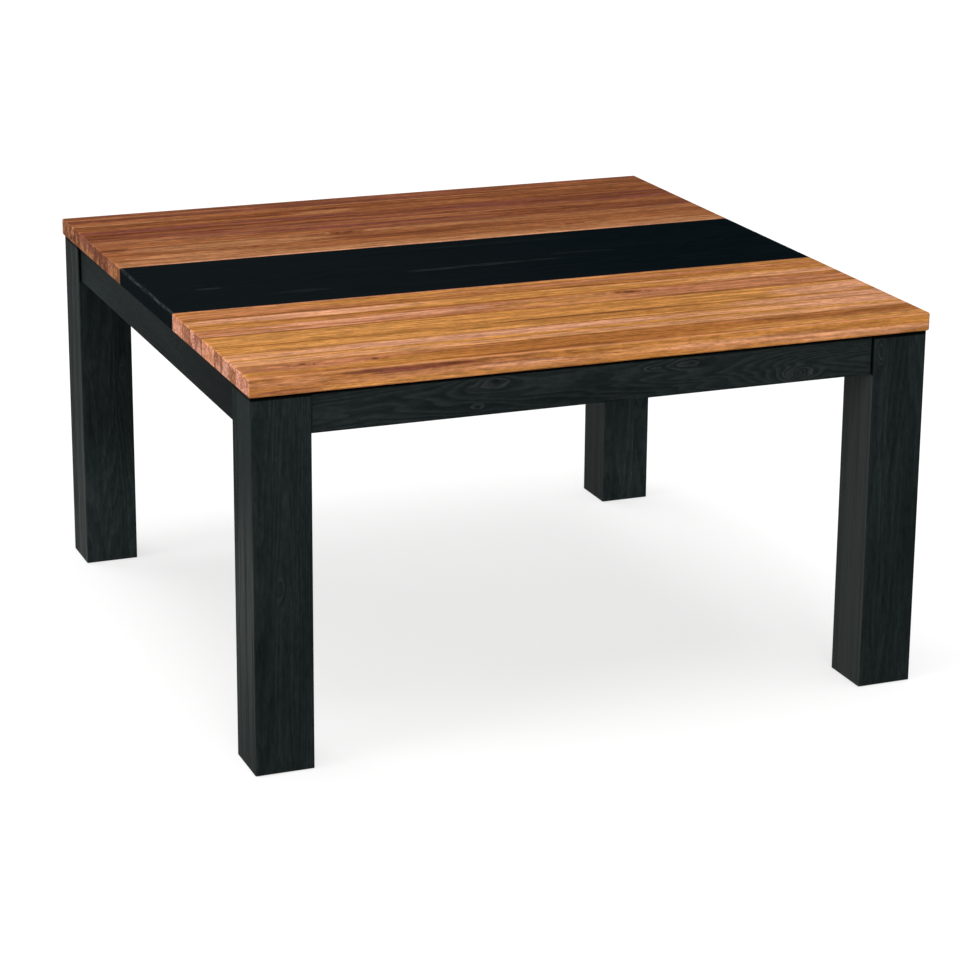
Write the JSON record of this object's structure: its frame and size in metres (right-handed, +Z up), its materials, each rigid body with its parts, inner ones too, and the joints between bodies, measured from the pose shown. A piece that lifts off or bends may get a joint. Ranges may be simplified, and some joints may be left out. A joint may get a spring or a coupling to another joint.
{
  "type": "square dining table",
  "caption": "Square dining table with stave-built hardwood panels either side of a flush black centre panel, on a brushed black wood frame of thick square legs and low aprons.",
  "frame": {"origin": "middle of the footprint, on the floor under the glides", "axes": "+X along the front edge to the right, the front faces -Y, +Z up out of the tabletop"},
  "size_m": [1.3, 1.3, 0.72],
  "materials": {
    "oiled_hardwood": "oiled, satin",
    "black_brushed_wood": "brushed grain, stained black, satin",
    "plain_softwood": "planed, unfinished",
    "zinc_plated_steel": "zinc plated",
    "glide_nylon": "moulded, matte"
  },
  "bodies": {
    "root": {"back_apron": "black_brushed_wood", "back_stave_1": "oiled_hardwood", "back_stave_2": "oiled_hardwood", "back_stave_3": "oiled_hardwood", "back_stave_4": "oiled_hardwood", "back_stave_5": "oiled_hardwood", "back_stave_6": "oiled_hardwood", "back_stave_7": "oiled_hardwood", "back_tongue": "plain_softwood", "batten_screws": "zinc_plated_steel", "block_screws": "zinc_plated_steel", "bolt_nuts": "zinc_plated_steel", "bolt_washers": "zinc_plated_steel", "button_screws": "zinc_plated_steel", "centre_board_back": "black_brushed_wood", "centre_board_front": "black_brushed_wood", "centre_board_middle": "black_brushed_wood", "corner_block_back_left": "plain_softwood", "corner_block_back_right": "plain_softwood", "corner_block_front_left": "plain_softwood", "corner_block_front_right": "plain_softwood", "front_apron": "black_brushed_wood", "front_stave_1": "oiled_hardwood", "front_stave_2": "oiled_hardwood", "front_stave_3": "oiled_hardwood", "front_stave_4": "oiled_hardwood", "front_stave_5": "oiled_hardwood", "front_stave_6": "oiled_hardwood", "front_stave_7": "oiled_hardwood", "front_tongue": "plain_softwood", "glide_back_left": "glide_nylon", "glide_back_right": "glide_nylon", "glide_front_left": "glide_nylon", "glide_front_right": "glide_nylon", "glide_nails": "zinc_plated_steel", "hanger_bolts": "zinc_plated_steel", "left_apron": "black_brushed_wood", "left_batten": "plain_softwood", "leg_back_left_core": "black_brushed_wood", "leg_back_left_inner": "black_brushed_wood", "leg_back_left_outer": "black_brushed_wood", "leg_back_right_core": "black_brushed_wood", "leg_back_right_inner": "black_brushed_wood", "leg_back_right_outer": "black_brushed_wood", "leg_front_left_core": "black_brushed_wood", "leg_front_left_inner": "black_brushed_wood", "leg_front_left_outer": "black_brushed_wood", "leg_front_right_core": "black_brushed_wood", "leg_front_right_inner": "black_brushed_wood", "leg_front_right_outer": "black_brushed_wood", "right_apron": "black_brushed_wood", "right_batten": "plain_softwood", "top_buttons": "plain_softwood"}
  },
  "joints": []
}
